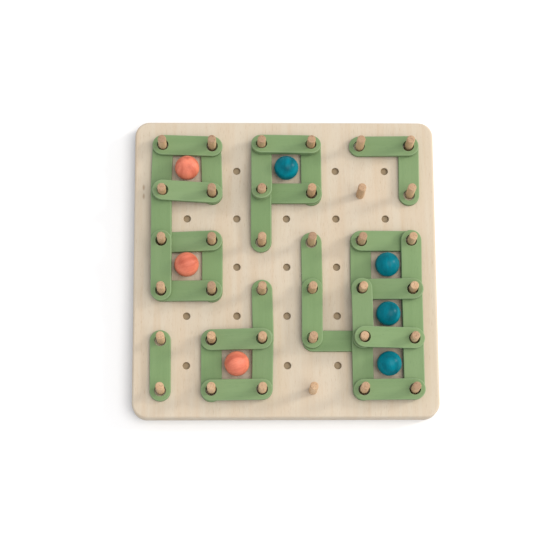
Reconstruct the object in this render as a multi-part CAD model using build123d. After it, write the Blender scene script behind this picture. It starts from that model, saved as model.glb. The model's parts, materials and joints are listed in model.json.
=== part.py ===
from build123d import *
from itertools import combinations
from math import atan, cos, pi, sin, sqrt
import os

# A peg-board game of dots and boxes. A square wooden board carries a grid of pegs, flat links
# drop over neighbouring pegs to close the sides of cells, and a ball marks each cell that is won.
# Millimetres, +Z up. The origin is the middle of the board's underside. Columns run to the right
# (+X) and rows come towards the player (-Y), both counted from the far left peg.

# Grid
pitch = 48.0               # peg centre to peg centre, both ways
cells = 5                  # cells along each side of the grid
grid_shift = 1.4           # the drilled grid lies this far to the right of the board's middle

# Board
border = 25.75             # outer pegs to the board's edge
board_thickness = 18.0
corner_radius = 14.0       # corners, seen from above
board_round = 2.2          # rounding of the upper edge
board_ease = 1.0           # rounding of the lower edge

# Pegs
peg_diameter = 8.0
peg_height = 29.0          # above the board
peg_floor = 8.0            # wood left in the board under a peg
peg_round = 0.9            # rounding of the upper end
peg_shoulder = 0.3         # step from a peg's side in to its glued tenon
tenon_chamfer = 0.6
glue_gap = 0.05            # radial room for glue round a tenon
tenon_gap = 0.5            # room under a tenon

# Sockets, one blind hole in the middle of each cell
socket_diameter = 7.0
socket_depth = 3.8

# Links
link_width = 20.0
link_thickness = 4.6
link_round = 0.9           # rounding of the outline's edges
hole_round = 0.4           # rounding of the holes' edges
least_play = 0.04          # radial room that is left between a peg and a link that leans on it
rest_gap = 0.03            # height of a link above what holds it up

# Balls
ball_clearance = 2.25      # from a ball to the links round its cell, when they are centred
ball_gap = 0.03            # height of a ball above its socket's rim

# Worked out from the sizes above
board_side = cells * pitch + 2 * border
board_top = board_thickness
tenon_diameter = peg_diameter - 2 * peg_shoulder
tenon_length = board_thickness - peg_floor - tenon_gap
ball_diameter = pitch - link_width - 2 * ball_clearance


# Links in the order that they are laid, so that each one lies on those before it:
# way it lies, column and row of its first peg, then how far its middle is off, along and across,
# and how far its ends are swung, each as a share of the play that its tilt leaves it.
# "across" runs to the next column, along is to the right and across is to the back.
# "down" runs to the next row, along is to the front and across is to the right.
# A swing is positive anticlockwise, seen from above.
laid_links = [
    ("down", 1, 2, 0.7, 0.3, 0.0),
    ("across", 0, 2, 0.3, -0.4, 0.5),
    ("across", 0, 3, 0.3, -0.6, -0.3),
    ("down", 0, 0, 0.0, -0.5, -0.5),
    ("down", 1, 0, 0.3, -0.3, 0.5),
    ("down", 0, 1, -0.4, -0.5, 0.1),
    ("down", 0, 2, 0.9, -0.2, 0.0),
    ("across", 0, 0, 0.1, -0.4, -0.5),
    ("across", 0, 1, 0.3, 0.2, -0.7),
    ("down", 3, 0, 0.9, 0.2, 0.1),
    ("across", 2, 1, 0.5, -0.3, -0.5),
    ("down", 2, 1, 0.4, -0.6, 0.0),
    ("down", 2, 0, -0.4, -0.2, -0.2),
    ("across", 2, 0, -0.3, 0.2, -0.5),
    ("down", 5, 0, 0.8, -0.3, -0.2),
    ("across", 4, 0, -0.5, -0.4, -0.4),
    ("down", 3, 2, 0.4, 0.0, 0.2),
    ("across", 3, 4, 0.4, -0.7, 0.0),
    ("down", 3, 3, -0.9, -0.2, -0.1),
    ("down", 4, 2, -0.6, -0.6, -0.1),
    ("across", 4, 2, -0.7, 0.3, 0.4),
    ("down", 5, 2, -0.7, -0.5, 0.0),
    ("down", 5, 3, 0.7, -0.3, 0.4),
    ("down", 5, 4, -0.4, -0.4, 0.4),
    ("across", 4, 3, 0.0, -0.2, -0.6),
    ("down", 4, 4, 0.2, -0.6, 0.3),
    ("down", 4, 3, 0.0, -0.5, 0.3),
    ("across", 4, 4, 0.3, 0.1, -0.2),
    ("across", 4, 5, 0.0, -0.2, 0.2),
    ("down", 2, 3, -0.5, 0.4, 0.4),
    ("down", 2, 4, -0.6, 0.3, -0.4),
    ("down", 1, 4, 0.8, -0.1, 0.1),
    ("across", 1, 4, -0.3, -0.6, 0.2),
    ("across", 1, 5, -0.3, -0.2, 0.4),
    ("down", 0, 4, 0.3, -0.4, 0.1),
]

# Cells that are won: colour of the player's balls, column and row of the cell
won_cells = [
    ("coral", 0, 0),
    ("coral", 0, 2),
    ("coral", 1, 4),
    ("teal", 2, 0),
    ("teal", 4, 2),
    ("teal", 4, 3),
    ("teal", 4, 4),
]


standing = (Align.CENTER, Align.CENTER, Align.MIN)
hanging = (Align.CENTER, Align.CENTER, Align.MAX)


def grid_point(column, row):
    """Plan position at a column and row, whole for a peg and with a half for a cell's middle."""
    half = cells * pitch / 2
    return grid_shift - half + column * pitch, half - row * pitch


def make_board():
    """The square board with its corners, its rounded edges and all of its blind holes."""
    plan = RectangleRounded(board_side, board_side, corner_radius)
    board = extrude(plan, board_thickness)
    board = fillet(board.faces().sort_by(Axis.Z)[-1].edges(), board_round)
    board = fillet(board.faces().sort_by(Axis.Z)[0].edges(), board_ease)
    holes = []
    for column in range(cells + 1):
        for row in range(cells + 1):
            x, y = grid_point(column, row)
            drill = Cylinder(tenon_diameter / 2 + glue_gap, tenon_length + tenon_gap, align=hanging)
            holes.append(Pos(x, y, board_top) * drill)
    for column in range(cells):
        for row in range(cells):
            x, y = grid_point(column + 0.5, row + 0.5)
            drill = Cylinder(socket_diameter / 2, socket_depth, align=hanging)
            holes.append(Pos(x, y, board_top) * drill)
    return board - holes


def make_peg():
    """One turned peg, its shoulder on z = 0, with its tenon below and its rounded end above."""
    shank = Cylinder(peg_diameter / 2, peg_height, align=standing)
    shank = fillet(shank.faces().sort_by(Axis.Z)[-1].edges(), peg_round)
    tenon = Cylinder(tenon_diameter / 2, tenon_length, align=hanging)
    tenon = chamfer(tenon.faces().sort_by(Axis.Z)[0].edges(), tenon_chamfer)
    return shank + tenon


def make_link():
    """One link, its underside at z = 0 and centred on the origin, with its length along X."""
    plan = SlotCenterToCenter(pitch, link_width)
    link = extrude(plan, link_thickness)
    outline = link.faces().sort_by(Axis.Z)[-1].edges() + link.faces().sort_by(Axis.Z)[0].edges()
    link = fillet(outline, link_round)
    for end in (-pitch / 2, pitch / 2):
        link -= Pos(end, 0, link_thickness / 2) * Cylinder(link_hole / 2, 2 * link_thickness)
    circles = link.edges().filter_by(GeomType.CIRCLE)
    rims = circles.filter_by(lambda edge: abs(edge.radius - link_hole / 2) < 0.01)
    return fillet(rims, hole_round)


def steepness(slopes):
    """Slope along the fall line, from the slopes along X and Y."""
    return sqrt(slopes[0] ** 2 + slopes[1] ** 2)


def tilt_play(slope):
    """Radial room that a link's holes need on two pegs at this slope, leaning and coming closer."""
    return link_thickness / 2 * slope + pitch / 2 * (1 - cos(atan(slope)))


def link_place(way, column, row, along, across, swing, slopes, peg_play):
    """Plan position and heading of the middle of a link that lies at these slopes."""
    slack = peg_play - least_play - tilt_play(steepness(slopes))
    heading = 0 if way == "across" else -pi / 2
    x1, y1 = grid_point(column, row)
    x2, y2 = grid_point(column + (way == "across"), row + (way == "down"))
    x = (x1 + x2) / 2 + slack * (along * cos(heading) - across * sin(heading))
    y = (y1 + y2) / 2 + slack * (along * sin(heading) + across * cos(heading))
    return x, y, heading + atan(swing * slack / (pitch / 2))


def flat_outline(x, y, heading):
    """Corners, anticlockwise, of a polygon just round the flat part of a link's face."""
    steps = 8
    radius = (link_width / 2 - link_round) / cos(pi / steps / 2)
    corners = []
    for end in (1, -1):
        for step in range(steps):
            turn = (step + 0.5) * pi / steps - pi / 2
            local_x = end * (pitch / 2 + radius * cos(turn))
            local_y = end * radius * sin(turn)
            corners.append((
                x + local_x * cos(heading) - local_y * sin(heading),
                y + local_x * sin(heading) + local_y * cos(heading),
            ))
    return corners


def shared_area(first, second):
    """Corners of the area that two convex outlines share, or an empty list."""
    area = first
    for (ax, ay), (bx, by) in zip(second, second[1:] + second[:1]):
        sides = [(bx - ax) * (y - ay) - (by - ay) * (x - ax) for x, y in area]
        kept = []
        for index, (x, y) in enumerate(area):
            before = index - 1
            if sides[before] * sides[index] < 0:
                share = sides[before] / (sides[before] - sides[index])
                px, py = area[before]
                kept.append((px + share * (x - px), py + share * (y - py)))
            if sides[index] >= 0:
                kept.append((x, y))
        area = kept
    return area


def resting_plane(x, y, points):
    """Slopes and middle height of a link that has come down on points (x, y, height).

    It rests on three points that surround its middle, and no point stands above their plane.
    """
    sliver = 1.0
    touch = 1e-6
    for a, b, c in combinations(points, 3):
        ux, uy, uz = b[0] - a[0], b[1] - a[1], b[2] - a[2]
        vx, vy, vz = c[0] - a[0], c[1] - a[1], c[2] - a[2]
        area = ux * vy - uy * vx
        if abs(area) < sliver:
            continue
        wx, wy = x - a[0], y - a[1]
        share_b = (wx * vy - wy * vx) / area
        share_c = (ux * wy - uy * wx) / area
        if min(share_b, share_c, 1 - share_b - share_c) < -touch:
            continue
        slope_x = (uz * vy - vz * uy) / area
        slope_y = (ux * vz - vx * uz) / area
        height = a[2] + slope_x * wx + slope_y * wy
        if all(height + slope_x * (px - x) + slope_y * (py - y) > pz - touch for px, py, pz in points):
            return slope_x, slope_y, height
    raise ValueError("the link has nothing under its middle")


def settle_link(placing, settled, peg_play):
    """Let one link down on the board and on the links that are settled already."""
    slopes = (0.0, 0.0)
    for _ in range(3):  # the place depends a little on the tilt, and the tilt on the place
        x, y, heading = link_place(*placing, slopes, peg_play)
        lean = link_thickness * cos(atan(steepness(slopes)))
        x += slopes[0] * lean / 2
        y += slopes[1] * lean / 2
        outline = flat_outline(x, y, heading)
        points = [(px, py, board_top) for px, py in outline]
        for lower in settled:
            for px, py in shared_area(outline, lower["top_outline"]):
                points.append((px, py, lower["top"] + lower["slopes"][0] * px + lower["slopes"][1] * py))
        *slopes, height = resting_plane(x, y, points)
    height += rest_gap
    way, column, row = placing[:3]
    rise = link_thickness / cos(atan(steepness(slopes)))
    return {
        "name": f"link_{way}_r{row + 1}_c{column + 1}",
        "middle": (x, y, height),
        "heading": heading,
        "slopes": slopes,
        "top": height - slopes[0] * x - slopes[1] * y + rise,
        "top_outline": [(px - lean * slopes[0], py - lean * slopes[1]) for px, py in outline],
    }


def settle_links(peg_play):
    """Lay all the links, in their order, with this radial room round a peg in a link's hole."""
    settled = []
    for placing in laid_links:
        settled.append(settle_link(placing, settled, peg_play))
    return settled


def place_link(link, spot):
    """A copy of the link with its underside on the plane that was worked out for it."""
    slope_x, slope_y = spot["slopes"]
    run_x, run_y = cos(spot["heading"]), sin(spot["heading"])
    climb = slope_x * run_x + slope_y * run_y
    underside = Plane(origin=spot["middle"], x_dir=(run_x, run_y, climb), z_dir=(-slope_x, -slope_y, 1))
    return underside.location * link


def write_node(name, solids):
    """One STEP file for each node."""
    shape = Compound(children=solids) if len(solids) > 1 else solids[0]
    export_step(shape, f"parts/{name}.step")


os.makedirs("parts", exist_ok=True)

write_node("board", [make_board()])

peg = make_peg()
for row in range(cells + 1):
    pegs = []
    for column in range(cells + 1):
        x, y = grid_point(column, row)
        pegs.append(Pos(x, y, board_top) * peg)
    write_node(f"pegs_row_{row + 1}", pegs)

# The holes are as wide as the link that leans most needs, and how the links lie depends on them.
peg_play = least_play
for _ in range(3):
    settled_links = settle_links(peg_play)
    peg_play = least_play + max(tilt_play(steepness(spot["slopes"])) for spot in settled_links)
link_hole = peg_diameter + 2 * peg_play

link = make_link()
for spot in settled_links:
    write_node(spot["name"], [place_link(link, spot)])

# A ball sinks into its socket until the rim holds it.
ball_radius = ball_diameter / 2
ball_height = board_top + ball_gap + sqrt(ball_radius ** 2 - (socket_diameter / 2) ** 2)
for colour, column, row in won_cells:
    x, y = grid_point(column + 0.5, row + 0.5)
    write_node(f"ball_{colour}_r{row + 1}_c{column + 1}", [Pos(x, y, ball_height) * Sphere(ball_radius)])
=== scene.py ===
import bmesh
import bpy
import json
import math
import random
from mathutils import Matrix, Vector

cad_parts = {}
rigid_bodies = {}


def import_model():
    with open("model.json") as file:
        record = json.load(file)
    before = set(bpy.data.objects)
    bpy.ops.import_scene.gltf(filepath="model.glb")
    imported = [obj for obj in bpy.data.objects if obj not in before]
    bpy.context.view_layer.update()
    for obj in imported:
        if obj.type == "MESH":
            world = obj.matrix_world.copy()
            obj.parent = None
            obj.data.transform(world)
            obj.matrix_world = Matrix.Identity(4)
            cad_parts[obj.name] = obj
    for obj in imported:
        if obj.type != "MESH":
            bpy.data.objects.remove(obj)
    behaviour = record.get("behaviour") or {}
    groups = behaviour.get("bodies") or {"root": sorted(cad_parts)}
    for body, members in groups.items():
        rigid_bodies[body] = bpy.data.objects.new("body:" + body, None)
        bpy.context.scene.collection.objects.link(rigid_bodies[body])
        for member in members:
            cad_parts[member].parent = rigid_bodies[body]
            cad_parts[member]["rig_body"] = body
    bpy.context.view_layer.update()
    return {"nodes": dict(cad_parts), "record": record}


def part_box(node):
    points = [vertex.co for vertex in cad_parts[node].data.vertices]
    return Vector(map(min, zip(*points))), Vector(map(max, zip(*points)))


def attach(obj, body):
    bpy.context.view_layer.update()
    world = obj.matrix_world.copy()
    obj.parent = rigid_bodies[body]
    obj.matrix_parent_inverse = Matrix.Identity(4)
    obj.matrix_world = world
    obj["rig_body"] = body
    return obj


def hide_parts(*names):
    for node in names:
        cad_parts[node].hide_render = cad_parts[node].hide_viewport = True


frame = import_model()
nodes = frame["nodes"]
print("frame loaded,", len(nodes), "parts")

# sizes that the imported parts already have, in metres
boardLow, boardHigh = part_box("board")
boardTop = boardHigh.z
rowLow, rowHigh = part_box("pegs_row_1")
cells = len([name for name in nodes if name.startswith("pegs_row_")]) - 1
pegRadius = (rowHigh.y - rowLow.y) / 2
pegHeight = rowHigh.z - boardTop
tenonLength = boardTop - rowLow.z
pitch = (rowHigh.x - rowLow.x - 2 * pegRadius) / cells
flatLink = "link_down_r3_c2"  # it lies flat on the board and runs straight
flatLow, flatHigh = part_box(flatLink)
linkWidth = flatHigh.x - flatLow.x
linkThickness = flatHigh.z - flatLow.z
flatHole = (flatLow + flatHigh) / 2 + Vector((0, pitch / 2, 0))
linkHole = min((v.co - flatHole).to_2d().length for v in nodes[flatLink].data.vertices)
drillings = [mount for mount in frame["record"]["mounts"] if mount["kind"] == "bolt_pattern"]
socketRadius = drillings[0]["dims"]["hole_r_mm"] / 1000


def gridPoint(column, row):
    # on the board's face, whole numbers at the pegs and halves in the middle of cells
    x = rowLow.x + pegRadius + column * pitch
    y = rowLow.y + pegRadius - row * pitch
    return Vector((x, y, boardTop))


# modelling helpers

def activate(piece):
    bpy.ops.object.select_all(action="DESELECT")
    piece.select_set(True)
    bpy.context.view_layer.objects.active = piece


def startPiece(name, adder, **settings):
    # adds a primitive and puts its place, turn and scale into its mesh
    bpy.ops.object.select_all(action="DESELECT")
    adder(**settings)
    piece = bpy.context.object
    piece.name = name
    piece.data.name = name
    bpy.ops.object.transform_apply(location=True, rotation=True, scale=True)
    return piece


def pick(piece, kind, test):
    # in edit mode, selects only the corners, edges or faces that pass the test
    bpy.ops.mesh.select_mode(type=kind)
    bpy.ops.mesh.select_all(action="DESELECT")
    shape = bmesh.from_edit_mesh(piece.data)
    for item in {"VERT": shape.verts, "EDGE": shape.edges, "FACE": shape.faces}[kind]:
        if test(item):
            item.select_set(True)
    shape.select_flush_mode()
    bmesh.update_edit_mesh(piece.data)


def roundEdges(piece, test, width, steps):
    pick(piece, "EDGE", test)
    bpy.ops.mesh.bevel(offset=width, segments=steps, profile=0.5, affect="EDGES")


def edgeAt(height):
    # a test for edges that lie level at this height
    return lambda edge: all(abs(corner.co.z - height) < 1e-6 for corner in edge.verts)


def applyModifier(piece, kind, **settings):
    activate(piece)
    bpy.ops.object.modifier_add(type=kind)
    modifier = piece.modifiers[-1]
    for name, value in settings.items():
        setattr(modifier, name, value)
    bpy.ops.object.modifier_apply(modifier=modifier.name)


def smoothOff(piece, angle=40):
    activate(piece)
    bpy.ops.object.shade_smooth_by_angle(angle=math.radians(angle))
    applyModifier(piece, "WEIGHTED_NORMAL", keep_sharp=True)


def layGrain(piece, along):
    # remembers each point's place in the piece, with the way of the grain first
    order = {"X": (0, 1, 2), "Y": (1, 0, 2), "Z": (2, 0, 1)}[along]
    grain = piece.data.attributes.new("grain", "FLOAT_VECTOR", "POINT")
    for point, corner in zip(grain.data, piece.data.vertices):
        point.vector = [corner.co[axis] for axis in order]


def copyPiece(model, name, place):
    # a copy with a mesh of its own, moved to its place in the mesh
    piece = bpy.data.objects.new(name, model.data.copy())
    piece.data.name = name
    piece.data.transform(place)
    bpy.context.collection.objects.link(piece)
    return piece


def hand(piece, node, slot, material, number):
    # gives a piece its wood, its own number from 0 to 1 and its body, and hides the part it stands for
    lot = piece.data.attributes.new("lot", "FLOAT", "POINT")
    for point in lot.data:
        point.value = number
    piece.data.materials.clear()
    piece.data.materials.append(material)
    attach(piece, nodes[node]["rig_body"])
    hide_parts(node)


# materials

class Wire:
    # one socket in a material: sums and products of wires add the nodes that work them out
    def __init__(self, tree, socket=None):
        self.tree = tree
        self.socket = socket

    def add(self, kind, settings=None, sockets=None, output=0):
        node = self.tree.nodes.new(kind)
        for name, value in (settings or {}).items():
            setattr(node, name, value)
        for name, value in (sockets or {}).items():
            if isinstance(value, Wire):
                self.tree.links.new(value.socket, node.inputs[name])
            else:
                node.inputs[name].default_value = value
        return Wire(self.tree, node.outputs[output] if node.outputs else None)

    def math(self, operation, first, second=0.0):
        return self.add("ShaderNodeMath", {"operation": operation}, {0: first, 1: second})

    def __add__(self, other):
        return self.math("ADD", self, other)

    def __radd__(self, other):
        return self.math("ADD", other, self)

    def __sub__(self, other):
        return self.math("SUBTRACT", self, other)

    def __rsub__(self, other):
        return self.math("SUBTRACT", other, self)

    def __mul__(self, other):
        return self.math("MULTIPLY", self, other)

    def __rmul__(self, other):
        return self.math("MULTIPLY", other, self)

    def __truediv__(self, other):
        return self.math("DIVIDE", self, other)

    def __pow__(self, other):
        return self.math("POWER", self, other)

    def __abs__(self):
        return self.math("ABSOLUTE", self)

    def atLeast(self, other):
        return self.math("MAXIMUM", self, other)

    def rise(self, low, high):
        # 0 below low, 1 above high, and smooth between
        sockets = {"Value": self, "From Min": low, "From Max": high}
        return self.add("ShaderNodeMapRange", {"interpolation_type": "SMOOTHSTEP"}, sockets)

    def axis(self, number):
        return self.add("ShaderNodeSeparateXYZ", None, {0: self}, number)

    def stretch(self, *scales):
        return self.add("ShaderNodeVectorMath", {"operation": "MULTIPLY"}, {0: self, 1: scales})

    def noise(self, seed, detail=2.0, roughness=0.5):
        # its value at this vector, 0 to 1, with a different pattern for each seed
        sockets = {"Vector": self, "W": seed, "Scale": 1.0, "Detail": detail, "Roughness": roughness}
        return self.add("ShaderNodeTexNoise", {"noise_dimensions": "4D"}, sockets)

    def mix(self, first, second):
        # colours: the first where this wire is 0, the second where it is 1
        return self.add("ShaderNodeMix", {"data_type": "RGBA"}, {0: self, 6: first, 7: second}, 2)


def hexColour(code):
    # a colour as seen, "#RRGGBB", to the linear values that shaders use
    parts = [int(code[start:start + 2], 16) / 255 for start in (1, 3, 5)]
    linear = [part / 12.92 if part < 0.04 else ((part + 0.055) / 1.055) ** 2.4 for part in parts]
    return (*linear, 1.0)


def startMaterial(name):
    material = bpy.data.materials.new(name)
    material.use_nodes = True
    material.node_tree.nodes.clear()
    return material, Wire(material.node_tree)


def finishMaterial(wire, colour, roughness, height, relief, fixed=None):
    # height is 0 to 1 and relief is what it stands for in metres
    normal = wire.add("ShaderNodeBump", None, {"Strength": 1.0, "Distance": relief, "Height": height})
    sockets = {"Base Color": colour, "Roughness": roughness, "Normal": normal}
    sockets.update(fixed or {})
    shader = wire.add("ShaderNodeBsdfPrincipled", None, sockets)
    wire.add("ShaderNodeOutputMaterial", None, {"Surface": shader})


woodFigure = {
    # about how often each repeats in a metre, along the grain and then across it
    "bands": (7, 130, 130),
    "fibres": (60, 1100, 1100),
    "pores": (190, 2600, 2600),
    # noise under poreFrom shows no pore and noise over poreFull shows a whole one
    "poreFrom": 0.62,
    "poreFull": 0.74,
    # steps through the noise: from lot to lot, and to the fibres' and the pores' own
    "lotSpread": 37.0,
    "fibreSeed": 11.0,
    "poreSeed": 23.0,
}


def pieceLot(wire):
    # the piece's own number, 0 to 1
    return wire.add("ShaderNodeAttribute", {"attribute_name": "lot"}, None, "Fac")


def woodPattern(wire):
    # growth bands and fibres of a piece, each 0 to 1, from its grain and its lot
    grain = wire.add("ShaderNodeAttribute", {"attribute_name": "grain"}, None, "Vector")
    seed = pieceLot(wire) * woodFigure["lotSpread"]
    bands = grain.stretch(*woodFigure["bands"]).noise(seed, 3, 0.55)
    fibres = grain.stretch(*woodFigure["fibres"]).noise(seed + woodFigure["fibreSeed"], 3, 0.6)
    return grain, bands, fibres


def woodPores(grain):
    # 0 between the pores and 1 in them
    seed = pieceLot(grain) * woodFigure["lotSpread"] + woodFigure["poreSeed"]
    pores = grain.stretch(*woodFigure["pores"]).noise(seed, 1)
    return pores.rise(woodFigure["poreFrom"], woodFigure["poreFull"])


def woodHeight(fibres, pits):
    # fibres stand up from the face and pits go down into it
    return fibres * 0.6 + (1 - pits) * 0.4


# the board, with a blind hole for each peg and each cell

boardShape = {
    "corner": 0.014,
    "cornerSteps": 14,
    "upperRound": 0.0022,
    "lowerRound": 0.001,
    "roundSteps": 5,
    "pegHole": 0.00375,
    "pegHoleDepth": 0.010,
    "socketDepth": 0.0038,
    "socketRim": 0.0004,
    "holeSides": 40,
}
boardFinish = {
    "pale": "#BFB3A0",
    "warm": "#BCAB94",
    "fibre": "#B29D7F",
    "pore": "#94795A",
    # colour inside the holes: raw wood, darkened further as painted shade
    "drilled": "#86704C",
    "undrilled": 0.006,       # no hole comes nearer to the sides than this
    "knot": "#836444",
    "knots": [(-0.38, 0.85), (-0.38, 1.03)],
    "knotLength": 0.0042,
    "knotWidth": 0.0018,
    "relief": 0.00006,
}


def makeDrill(name, radius, depth, rim):
    # a cutter that stands in the board's face at the origin, flared where it leaves the wood
    above = 0.002
    drill = startPiece(name, bpy.ops.mesh.primitive_cylinder_add, vertices=boardShape["holeSides"],
                       radius=radius, depth=depth - rim, location=(0, 0, -(depth + rim) / 2))
    bpy.ops.object.mode_set(mode="EDIT")
    pick(drill, "FACE", lambda face: face.normal.z > 0.9)
    flare = (radius + rim) / radius
    bpy.ops.mesh.extrude_region_move(TRANSFORM_OT_translate={"value": (0, 0, rim)})
    bpy.ops.transform.resize(value=(flare, flare, 1), center_override=(0, 0, 0))
    bpy.ops.mesh.extrude_region_move(TRANSFORM_OT_translate={"value": (0, 0, above)})
    bpy.ops.object.mode_set(mode="OBJECT")
    return drill


def makeBoard():
    board = startPiece("pegBoard", bpy.ops.mesh.primitive_cube_add, size=1,
                       location=(boardLow + boardHigh) / 2, scale=boardHigh - boardLow)
    bpy.ops.object.mode_set(mode="EDIT")
    upright = lambda edge: abs(edge.verts[0].co.z - edge.verts[1].co.z) > 0.001
    roundEdges(board, upright, boardShape["corner"], boardShape["cornerSteps"])
    roundEdges(board, edgeAt(boardTop), boardShape["upperRound"], boardShape["roundSteps"])
    roundEdges(board, edgeAt(boardLow.z), boardShape["lowerRound"], boardShape["roundSteps"])
    bpy.ops.object.mode_set(mode="OBJECT")

    pegDrill = makeDrill("pegDrill", boardShape["pegHole"], boardShape["pegHoleDepth"], 0.0001)
    cellDrill = makeDrill("cellDrill", socketRadius, boardShape["socketDepth"], boardShape["socketRim"])
    drills = []
    for model, count, middle in ((pegDrill, cells + 1, 0.0), (cellDrill, cells, 0.5)):
        for column in range(count):
            for row in range(count):
                place = Matrix.Translation(gridPoint(column + middle, row + middle))
                drills.append(copyPiece(model, "drill", place))
        bpy.data.objects.remove(model)
    activate(drills[0])
    for drill in drills:
        drill.select_set(True)
    bpy.ops.object.join()
    applyModifier(board, "BOOLEAN", object=drills[0])
    bpy.data.objects.remove(drills[0])
    smoothOff(board)
    layGrain(board, "Y")
    return board


def boardWood():
    look = boardFinish
    material, wire = startMaterial("sandedBirch")
    grain, bands, fibres = woodPattern(wire)
    pores = woodPores(grain)
    colour = bands.rise(0.35, 0.7).mix(hexColour(look["pale"]), hexColour(look["warm"]))
    colour = (fibres.rise(0.5, 0.8) * 0.35).mix(colour, hexColour(look["fibre"]))
    colour = (pores * 0.4).mix(colour, hexColour(look["pore"]))
    # raw wood inside the holes is darker than the sanded face, and this darker colour is also painted
    # shade in the holes
    fromMiddle = abs(grain.axis(0)).atLeast(abs(grain.axis(1)))
    height = grain.axis(2)
    solidFrom = boardHigh.x - look["undrilled"]
    inside = 1 - fromMiddle.rise(solidFrom - 0.002, solidFrom)
    below = 1 - height.rise(boardTop - 0.002, boardTop - 0.0003)
    drilled = height.rise(boardTop * 0.2, boardTop * 0.3) * below
    colour = (inside * drilled * 0.75).mix(colour, hexColour(look["drilled"]))
    for column, row in look["knots"]:
        knot = gridPoint(column, row)
        along = (grain.axis(0) - knot.y) / look["knotLength"]
        aside = (grain.axis(1) - knot.x) / look["knotWidth"]
        fromKnot = (along * along + aside * aside) ** 0.5 + (fibres - 0.5)
        colour = ((1 - fromKnot.rise(0.1, 1.0)) * 0.6).mix(colour, hexColour(look["knot"]))
    roughness = 0.58 + fibres * 0.14
    finishMaterial(wire, colour, roughness, woodHeight(fibres, pores), look["relief"])
    return material


board = makeBoard()
hand(board, "board", "board_wood", boardWood(), 0.5)
print("board made,", len(board.data.polygons), "faces")


# the pegs, turned from dowel

pegShape = {
    "sides": 40,
    "round": 0.0009,
    "roundSteps": 4,
    "crown": 0.00015,
    "crownRings": 3,
    "tenon": 0.0037,
    "chamfer": 0.0006,
}
pegFinish = {
    "side": "#D2B28C",
    "deep": "#BA926B",
    "end": "#96785E",
    "speck": "#6F4B37",
    "specks": (300, 1100, 1100),  # about how many in a metre, along the grain and across it
    "speckSpread": 19.0,
    "endDepth": 0.0011,           # the colour of the end goes this far down the side
    "relief": 0.00008,
}


def makePeg():
    # its shoulder is on the origin, with the tenon below
    top = pegHeight - pegShape["crown"]
    peg = startPiece("pegModel", bpy.ops.mesh.primitive_cylinder_add, vertices=pegShape["sides"],
                     radius=pegRadius, depth=top, location=(0, 0, top / 2))
    bpy.ops.object.mode_set(mode="EDIT")
    roundEdges(peg, edgeAt(top), pegShape["round"], pegShape["roundSteps"])
    pick(peg, "FACE", lambda face: face.normal.z > 0.999)
    rings = pegShape["crownRings"]
    ringWidth = (pegRadius - pegShape["round"]) / (rings + 1)
    for ring in range(rings, 0, -1):  # each ring is flatter than the one outside it
        rise = pegShape["crown"] * ring / (rings * (rings + 1) / 2)
        bpy.ops.mesh.inset(thickness=ringWidth, depth=rise)
    pick(peg, "FACE", lambda face: face.normal.z < -0.999)
    bpy.ops.mesh.inset(thickness=pegRadius - pegShape["tenon"])
    bpy.ops.mesh.extrude_region_move(TRANSFORM_OT_translate={"value": (0, 0, -tenonLength)})
    roundEdges(peg, edgeAt(-tenonLength), pegShape["chamfer"], 1)
    bpy.ops.object.mode_set(mode="OBJECT")
    smoothOff(peg)
    layGrain(peg, "Z")
    return peg


def pegWood():
    look = pegFinish
    material, wire = startMaterial("plainDowel")
    lot = pieceLot(wire)
    grain, bands, fibres = woodPattern(wire)
    colour = bands.rise(0.3, 0.75).mix(hexColour(look["side"]), hexColour(look["deep"]))
    colour = (fibres.rise(0.5, 0.8) * 0.4).mix(colour, hexColour(look["deep"]))
    end = grain.axis(0).rise(pegHeight - look["endDepth"], pegHeight - 0.0003)
    colour = (end * (0.25 + lot * 0.7)).mix(colour, hexColour(look["end"]))
    specks = grain.stretch(*look["specks"]).noise(lot * look["speckSpread"], 2).rise(0.5, 0.68)
    colour = (specks * (0.2 + end * 0.4)).mix(colour, hexColour(look["speck"]))
    roughness = 0.55 + fibres * 0.12 + end * 0.12
    finishMaterial(wire, colour, roughness, woodHeight(fibres, specks), look["relief"])
    return material


pegModel = makePeg()
plainDowel = pegWood()
lots = random.Random(36)
for row in range(cells + 1):
    for column in range(cells + 1):
        place = Matrix.Translation(gridPoint(column, row)) @ Matrix.Rotation(lots.uniform(0, 6.3), 4, "Z")
        peg = copyPiece(pegModel, f"peg_r{row + 1}_c{column + 1}", place)
        hand(peg, f"pegs_row_{row + 1}", "peg_wood", plainDowel, lots.random())
bpy.data.objects.remove(pegModel)
print("pegs made,", (cells + 1) ** 2)


# the links, flat stained bars with a hole at each end

linkShape = {
    "steps": 48,          # sides of a hole, and of the two round ends together
    "edgeRound": 0.0009,
    "edgeSteps": 4,
    "rimRound": 0.0004,
    "rimSteps": 3,
}
linkFinish = {
    "stain": "#6C8757",
    "other": "#70885C",
    "deep": "#5C7949",
    # lighter edges: thinly rubbed stain, and also a painted highlight
    "wornAndHighlit": "#819870",
    "pore": "#4B6540",
    "wearAndHighlightWidth": 0.0012,
    "relief": 0.00005,
}


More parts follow.
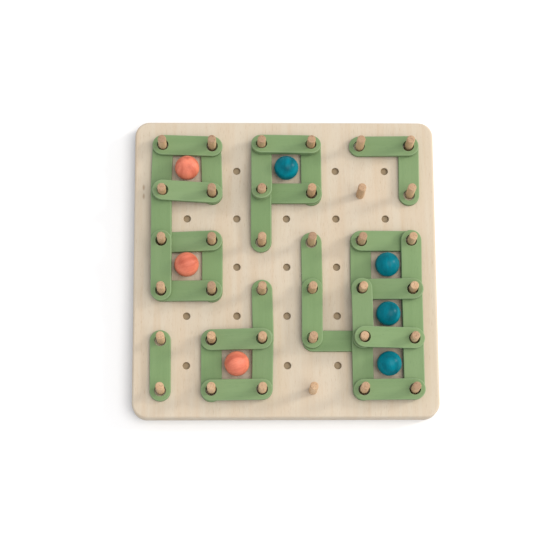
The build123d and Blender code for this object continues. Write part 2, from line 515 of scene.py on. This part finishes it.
def makeLink():
    # centred on the origin, its length along X
    end = Vector((pitch / 2, 0, 0))
    near = 1e-5
    underside = end + Vector((0, 0, -linkThickness / 2))
    link = startPiece("linkModel", bpy.ops.mesh.primitive_circle_add, vertices=linkShape["steps"],
                      radius=linkHole, fill_type="NOTHING", location=underside)
    bpy.ops.object.mode_set(mode="EDIT")
    pick(link, "EDGE", lambda edge: True)
    bpy.ops.mesh.extrude_region_move()
    wider = linkWidth / 2 / linkHole
    bpy.ops.transform.resize(value=(wider, wider, 1), center_override=end)

    def innerHalf(corner):
        # the half of the outer ring that faces the other hole; straight sides take its place
        outside = (corner.co - end).to_2d().length > linkHole + near
        return outside and corner.co.x < end.x - near

    pick(link, "VERT", innerHalf)
    bpy.ops.mesh.delete(type="VERT")
    bpy.ops.object.mode_set(mode="OBJECT")
    applyModifier(link, "MIRROR", use_mirror_merge=False)
    bpy.ops.object.mode_set(mode="EDIT")
    for way in (1, -1):
        pick(link, "VERT", lambda corner: abs(corner.co.y * way - linkWidth / 2) < near)
        bpy.ops.mesh.edge_face_add()
    pick(link, "EDGE", lambda edge: all(abs(corner.co.x) < end.x + near for corner in edge.verts))
    bpy.ops.mesh.edge_face_add()
    pick(link, "FACE", lambda face: True)
    bpy.ops.mesh.extrude_region_move(TRANSFORM_OT_translate={"value": (0, 0, linkThickness)})
    bpy.ops.mesh.select_all(action="SELECT")
    bpy.ops.mesh.normals_make_consistent(inside=False)

    def cornerEdge(edge, hole):
        # an edge of the top or the underside, at a hole's rim or else on the outline
        level = abs(edge.verts[0].co.z - edge.verts[1].co.z) < near
        sharp = edge.calc_face_angle(0) > math.radians(60)
        places = [Vector((abs(corner.co.x), corner.co.y)) for corner in edge.verts]
        atRim = all((place - end.to_2d()).length < linkHole + near for place in places)
        return level and sharp and atRim == hole

    roundEdges(link, lambda edge: cornerEdge(edge, False), linkShape["edgeRound"], linkShape["edgeSteps"])
    roundEdges(link, lambda edge: cornerEdge(edge, True), linkShape["rimRound"], linkShape["rimSteps"])
    bpy.ops.object.mode_set(mode="OBJECT")
    smoothOff(link)
    layGrain(link, "X")
    return link


def linkPlace(node):
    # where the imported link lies: its largest face is its top and its largest upright face a side
    faces = sorted(node.data.polygons, key=lambda face: -face.area)
    up = next(face.normal.copy() for face in faces if face.normal.z > 0.5)
    side = next(face.normal.copy() for face in faces if abs(face.normal.dot(up)) < 0.1)
    along = side.cross(up).normalized()
    side = up.cross(along)
    middle = Vector()
    for way in (along, side, up):
        reach = [way.dot(corner.co) for corner in node.data.vertices]
        middle += way * (min(reach) + max(reach)) / 2
    return Matrix.Translation(middle) @ Matrix((along, side, up)).transposed().to_4x4()


def greenStain():
    look = linkFinish
    material, wire = startMaterial("greenStain")
    grain, bands, fibres = woodPattern(wire)
    pores = woodPores(grain)
    colour = pieceLot(wire).mix(hexColour(look["stain"]), hexColour(look["other"]))
    colour = (bands.rise(0.35, 0.75) * 0.35).mix(colour, hexColour(look["deep"]))
    colour = (fibres.rise(0.45, 0.85) * 0.3).mix(colour, hexColour(look["deep"]))
    colour = (pores * 0.35).mix(colour, hexColour(look["pore"]))
    # stain is rubbed thin along the outline's edges and round the holes, and the same edges are also
    # lightened as a painted highlight
    pastHole = abs(grain.axis(0)) - pitch / 2
    outer = pastHole.atLeast(0.0)
    across = grain.axis(1)
    fromMiddle = (outer * outer + across * across) ** 0.5
    fromHole = (pastHole * pastHole + across * across) ** 0.5
    edgeBandWidth = look["wearAndHighlightWidth"]
    outline = fromMiddle.rise(linkWidth / 2 - edgeBandWidth, linkWidth / 2 - edgeBandWidth / 4)
    rim = 1 - fromHole.rise(linkHole + 0.0002, linkHole + 0.0009)
    face = abs(grain.axis(2)).rise(linkThickness / 2 - edgeBandWidth, linkThickness / 2 - edgeBandWidth / 4)
    wornAndHighlit = outline.atLeast(rim) * face * (0.25 + bands * 0.6)
    colour = wornAndHighlit.mix(colour, hexColour(look["wornAndHighlit"]))
    roughness = 0.62 + fibres * 0.12 - wornAndHighlit * 0.08
    finishMaterial(wire, colour, roughness, woodHeight(fibres, pores), look["relief"])
    return material


linkModel = makeLink()
greenWood = greenStain()
lots = random.Random(35)
linkNodes = sorted(name for name in nodes if name.startswith("link_"))
for name in linkNodes:
    link = copyPiece(linkModel, "green_" + name, linkPlace(nodes[name]))
    hand(link, name, "green_stain", greenWood, lots.random())
bpy.data.objects.remove(linkModel)
print("links made,", len(linkNodes))


# the balls, turned, with a small flat where the lathe held them

ballShape = {
    "sides": 72,
    "rings": 36,
    "flat": 0.0012,
    "flatRise": 0.00003,
    "centreMark": 0.0001,
    "heart": 0.03,            # from the ball's middle to the middle of its growth rings
    "ringTurn": 620.0,        # radians a metre, which is a ring about every 10 mm
    "ringWander": 0.0035,
    "relief": 0.00005,
    # way that the upper flat faces: degrees from upright, then degrees round from +X
    "turned": {
        "ball_coral_r1_c1": (33, 100),
        "ball_coral_r3_c1": (78, 200),
        "ball_coral_r5_c2": (84, 20),
        "ball_teal_r1_c3": (70, 262),
        "ball_teal_r3_c5": (82, 95),
        "ball_teal_r4_c5": (88, 80),
        "ball_teal_r5_c5": (75, 110),
    },
}
ballFinish = {
    "coral": {"stain": "#E08065", "deep": "#983E28", "pore": "#7C3324", "roughness": 0.42, "shine": 0.3},
    "teal": {"stain": "#007786", "deep": "#00323C", "pore": "#002832", "roughness": 0.24, "shine": 0.09},
}


def makeBall(radius):
    ball = startPiece("ballModel", bpy.ops.mesh.primitive_uv_sphere_add, segments=ballShape["sides"],
                      ring_count=ballShape["rings"], radius=radius)
    flatHeight = (radius ** 2 - ballShape["flat"] ** 2) ** 0.5
    bpy.ops.object.mode_set(mode="EDIT")
    for way in (1, -1):
        pick(ball, "FACE", lambda face: True)
        bpy.ops.mesh.bisect(plane_co=(0, 0, way * flatHeight), plane_no=(0, 0, way),
                            use_fill=True, clear_outer=True)
        pick(ball, "FACE", lambda face: face.calc_center_median().z * way > flatHeight - 1e-6)
        bpy.ops.mesh.inset(thickness=ballShape["flat"] * 0.15, depth=ballShape["flatRise"])
        bpy.ops.mesh.inset(thickness=ballShape["flat"] * 0.45)
        bpy.ops.mesh.inset(thickness=ballShape["flat"] * 0.15, depth=-ballShape["centreMark"])
    bpy.ops.object.mode_set(mode="OBJECT")
    smoothOff(ball)
    layGrain(ball, "Z")
    return ball


def ballStain(colourName):
    look = ballFinish[colourName]
    material, wire = startMaterial(colourName + "Stain")
    grain, bands, fibres = woodPattern(wire)
    pores = woodPores(grain)
    # growth rings about a heart that lies outside the ball
    aside = grain.axis(1) + ballShape["heart"]
    depth = grain.axis(2)
    fromHeart = (aside * aside + depth * depth) ** 0.5 + bands * ballShape["ringWander"]
    rings = fromHeart * ballShape["ringTurn"]
    ringTone = rings.math("SINE", rings) * 0.5 + 0.5
    tone = ringTone * 0.3 + bands.rise(0.4, 0.7) * 0.4
    colour = tone.mix(hexColour(look["stain"]), hexColour(look["deep"]))
    colour = (fibres.rise(0.45, 0.85) * 0.4).mix(colour, hexColour(look["deep"]))
    colour = (pores * 0.4).mix(colour, hexColour(look["pore"]))
    roughness = look["roughness"] + fibres * 0.12
    finishMaterial(wire, colour, roughness, woodHeight(fibres, pores), ballShape["relief"],
                   {"Specular IOR Level": look["shine"]})
    return material


stains = {name: ballStain(name) for name in ballFinish}
lots = random.Random(7)
ballLow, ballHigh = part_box("ball_coral_r1_c1")
ballModel = makeBall((ballHigh.z - ballLow.z) / 2)
for name, (tilt, heading) in ballShape["turned"].items():
    low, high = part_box(name)
    turn = Matrix.Rotation(math.radians(heading), 4, "Z") @ Matrix.Rotation(math.radians(tilt), 4, "Y")
    colourName = name.split("_")[1]
    ball = copyPiece(ballModel, "turned_" + name, Matrix.Translation((low + high) / 2) @ turn)
    hand(ball, name, colourName + "_stain", stains[colourName], lots.random())
bpy.data.objects.remove(ballModel)
print("balls made,", len(ballShape["turned"]))


# floor, light and camera

studio = {
    "floor": 8.0,
    "floorColour": "#E6E6E6",
    "skyColour": "#F1F5FD",
    "sky": 0.78,
    "lamps": {
        "keyLight": {"from": (2.1, -0.6, 5.9), "size": 5.0, "power": 300.0, "colour": "#FFF9F0"},
        "windowLight": {"from": (4.6, 1.5, 2.3), "size": 1.1, "power": 140.0, "colour": "#FFF8EE"},
    },
    "cameraAt": (-0.0515, -0.3647, 1.5890),
    "cameraTurn": (12.80, -1.48, 0.0),   # degrees about its own X, then Y, then Z
    "lens": 109.7,
}


def makeFloor():
    floor = startPiece("studioFloor", bpy.ops.mesh.primitive_plane_add, size=studio["floor"])
    material, wire = startMaterial("floorPaper")
    mottle = wire.add("ShaderNodeTexCoord", None, None, "Object").noise(0.0, 2)
    shade = hexColour(studio["floorColour"])
    colour = (mottle * 0.1).mix(shade, [value * 0.97 for value in shade[:3]] + [1.0])
    finishMaterial(wire, colour, 0.8 + mottle * 0.05, mottle, 0.00001)
    floor.data.materials.append(material)


def makeLights():
    world = bpy.data.worlds.new("studioSky")
    world.use_nodes = True
    sky = world.node_tree.nodes["Background"].inputs
    sky["Color"].default_value = hexColour(studio["skyColour"])
    sky["Strength"].default_value = studio["sky"]
    bpy.context.scene.world = world
    for name, look in studio["lamps"].items():
        light = bpy.data.lights.new(name, "AREA")
        light.size = look["size"]
        light.energy = look["power"]
        light.color = hexColour(look["colour"])[:3]
        lamp = bpy.data.objects.new(name, light)
        lamp.location = look["from"]
        lamp.rotation_mode = "QUATERNION"
        lamp.rotation_quaternion = lamp.location.to_track_quat("Z", "Y")
        bpy.context.collection.objects.link(lamp)


def makeCamera():
    camera = bpy.data.objects.new("camera", bpy.data.cameras.new("camera"))
    camera.data.lens = studio["lens"]
    camera.data.clip_end = 50
    camera.location = studio["cameraAt"]
    camera.rotation_mode = "ZYX"
    camera.rotation_euler = [math.radians(angle) for angle in studio["cameraTurn"]]
    bpy.context.collection.objects.link(camera)
    bpy.context.scene.camera = camera


makeFloor()
makeLights()
makeCamera()
bpy.context.scene.view_settings.view_transform = "Standard"
print("studio made")
